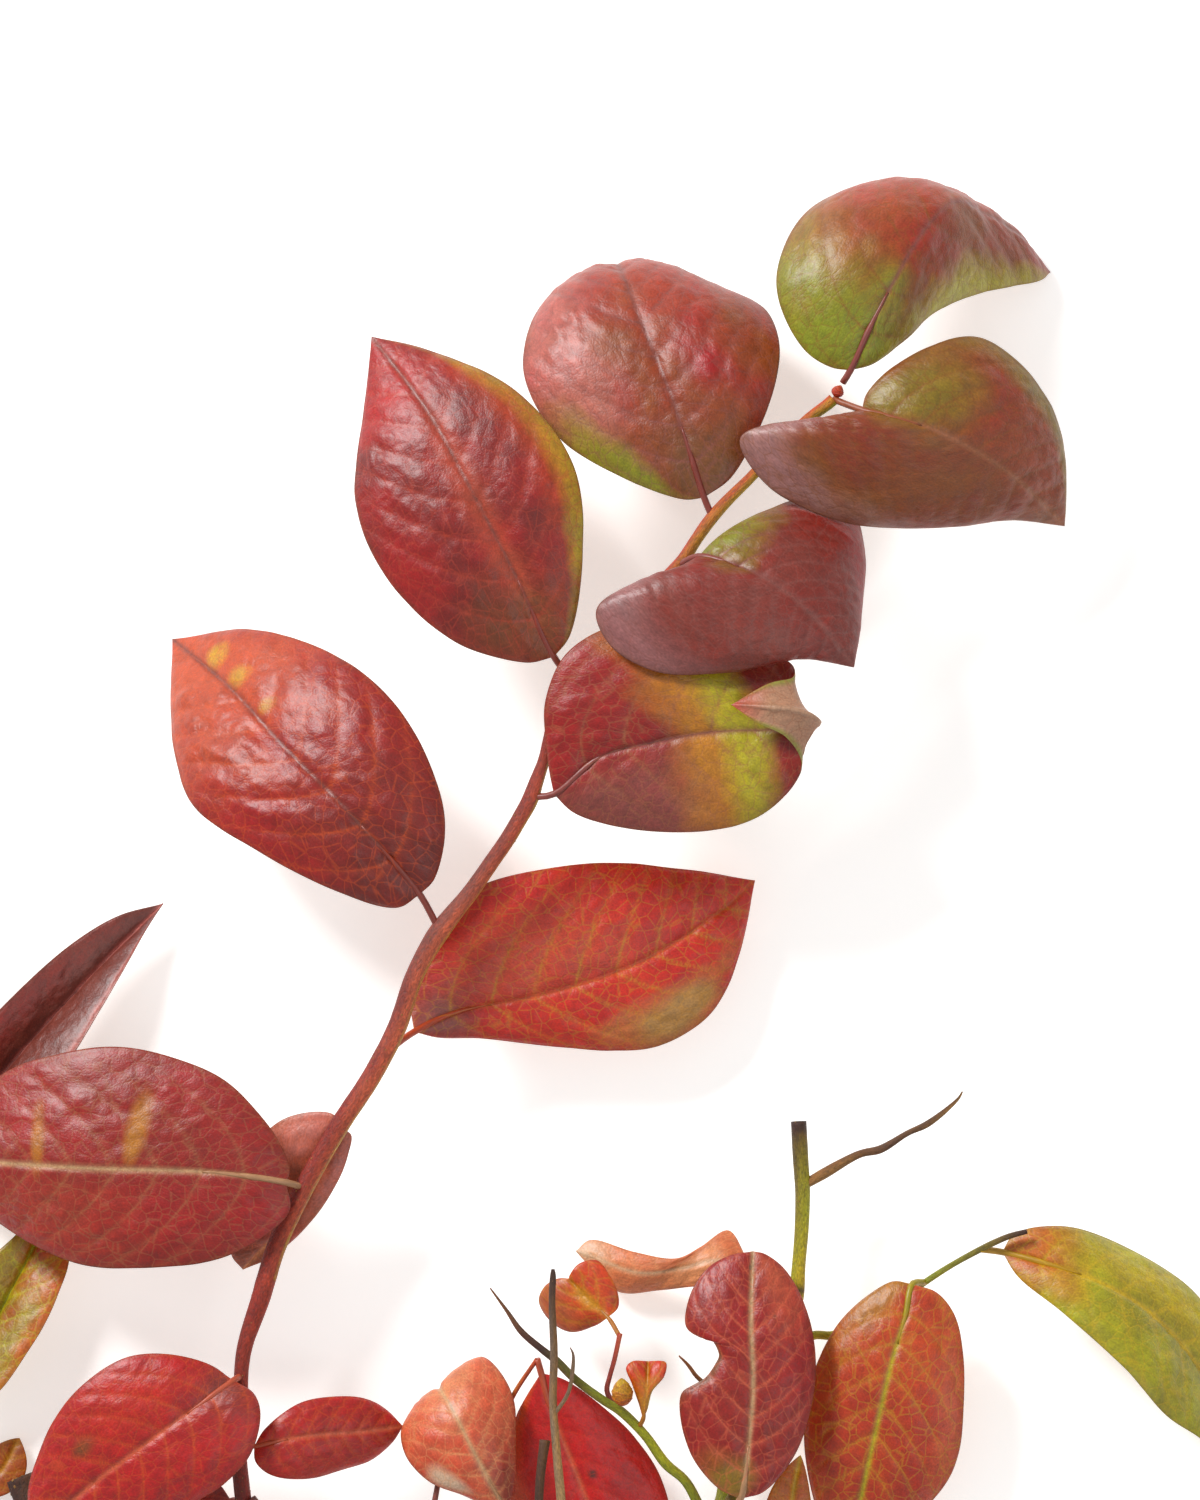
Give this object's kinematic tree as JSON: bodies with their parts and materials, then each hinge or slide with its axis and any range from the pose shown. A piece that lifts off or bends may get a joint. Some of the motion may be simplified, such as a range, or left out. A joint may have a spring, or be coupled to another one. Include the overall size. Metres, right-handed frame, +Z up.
{
  "type": "cut leafy branch",
  "caption": "Cut blueberry branch in autumn colour lying flat, with a long leafy shoot, side stems, pruned and dead twigs and broad red, brown and green leaves.",
  "frame": {"origin": "middle of the branch's footprint, on the surface that it lies on", "axes": "+Z up off the surface, +Y from the cut end of the cane towards the tip of the long shoot, +X to the right as seen from above"},
  "size_m": [0.2918, 0.3586, 0.0454],
  "materials": {
    "red_leaf": "satin leaf, crimson",
    "brown_leaf": "satin leaf, red-brown to olive",
    "orange_leaf": "satin leaf, orange",
    "green_leaf": "satin leaf, yellow-green",
    "pink_leaf": "satin leaf, pale pink",
    "red_stem": "smooth young bark, mauve-red",
    "green_stem": "smooth young bark, yellow-green",
    "brown_bark": "matt dark bark",
    "grey_wood": "matt weathered twig"
  },
  "bodies": {
    "root": {"leaf_crown": "brown_leaf", "leaf_dusk": "brown_leaf", "leaf_plum": "brown_leaf", "leaf_rose": "red_leaf", "leaf_crimson": "red_leaf", "leaf_hooked": "red_leaf", "leaf_ember": "red_leaf", "leaf_coral": "red_leaf", "leaf_garnet": "red_leaf", "leaf_blush": "pink_leaf", "leaf_scarlet": "red_leaf", "leaf_spear": "red_leaf", "leaf_violet": "brown_leaf", "leaf_olive": "green_leaf", "leaf_wine": "red_leaf", "leaf_salmon": "orange_leaf", "leaf_vermilion": "red_leaf", "leaf_heart": "orange_leaf", "leaf_peach": "pink_leaf", "leaf_bitten": "red_leaf", "leaf_veined": "orange_leaf", "leaf_lime": "green_leaf", "leaf_amber": "orange_leaf", "leaf_scoop": "orange_leaf", "leaf_orange": "orange_leaf", "leaf_outer": "red_leaf", "leaf_low": "red_leaf", "leaf_last": "red_leaf", "cane": "brown_bark", "left_arm": "brown_bark", "main_shoot": "red_stem", "right_arm": "brown_bark", "pruned_shoot": "green_stem", "dead_spur": "brown_bark", "green_stem": "green_stem", "green_shoot": "green_stem", "grey_twig": "grey_wood", "brown_stub": "brown_bark", "grey_spur": "grey_wood", "left_stub": "brown_bark", "left_shoot": "brown_bark", "thin_stem": "green_stem", "red_stalk": "red_stem", "bud_stalk": "red_stem", "split_spur": "brown_bark", "terminal_bud": "red_stem", "flower_bud": "orange_leaf"}
  },
  "joints": []
}
